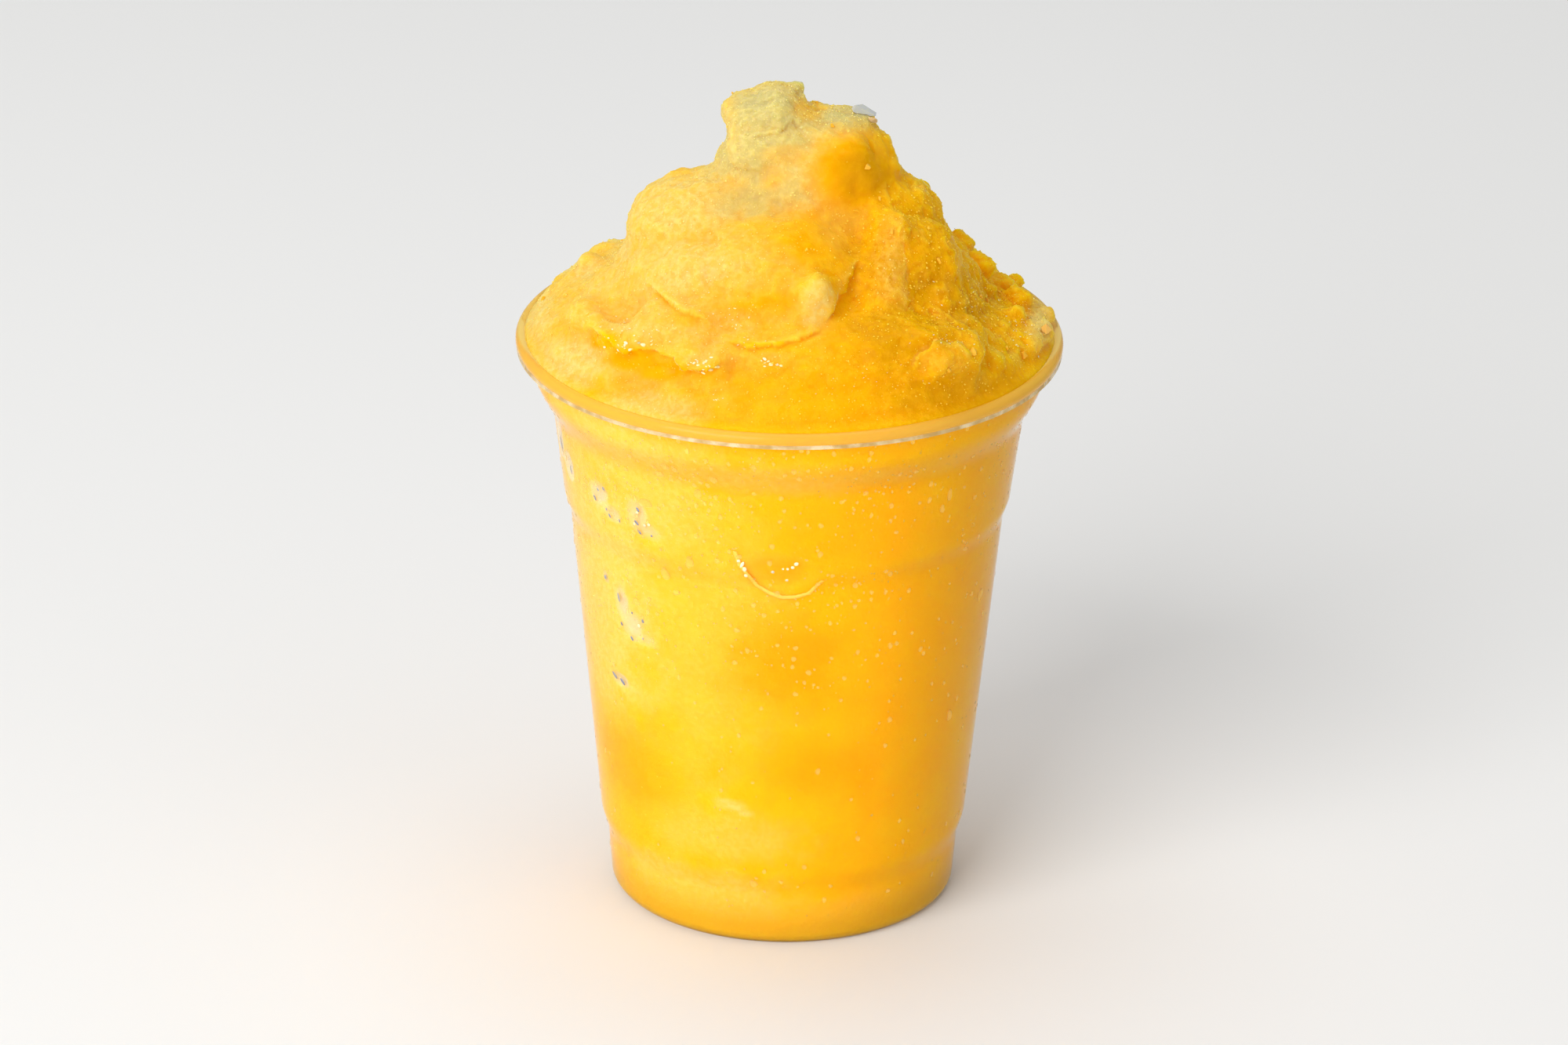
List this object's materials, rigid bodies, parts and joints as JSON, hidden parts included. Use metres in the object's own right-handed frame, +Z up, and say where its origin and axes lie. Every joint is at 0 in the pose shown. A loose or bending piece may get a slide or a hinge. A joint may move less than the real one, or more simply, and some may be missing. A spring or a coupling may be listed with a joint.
{
  "type": "pineapple lemonade slush in a cup",
  "caption": "Frozen pineapple lemonade slush heaped in a rough peak above the rolled rim of a clear, tapered, stepped plastic cup.",
  "frame": {"origin": "on the ground under the foot of the cup, on the cup's axis", "axes": "+Z up along the cup's axis; -Y towards the side that the picture shows; +X to the picture's right"},
  "size_m": [0.098, 0.098, 0.1532],
  "materials": {
    "clear_cup": "clear thin plastic, glossy, with fine condensation",
    "pineapple_slush": "wet, translucent yellow frozen slush with fine ice grain, paler where it is drier"
  },
  "bodies": {
    "root": {"cup": "clear_cup", "slush": "pineapple_slush"}
  },
  "joints": []
}
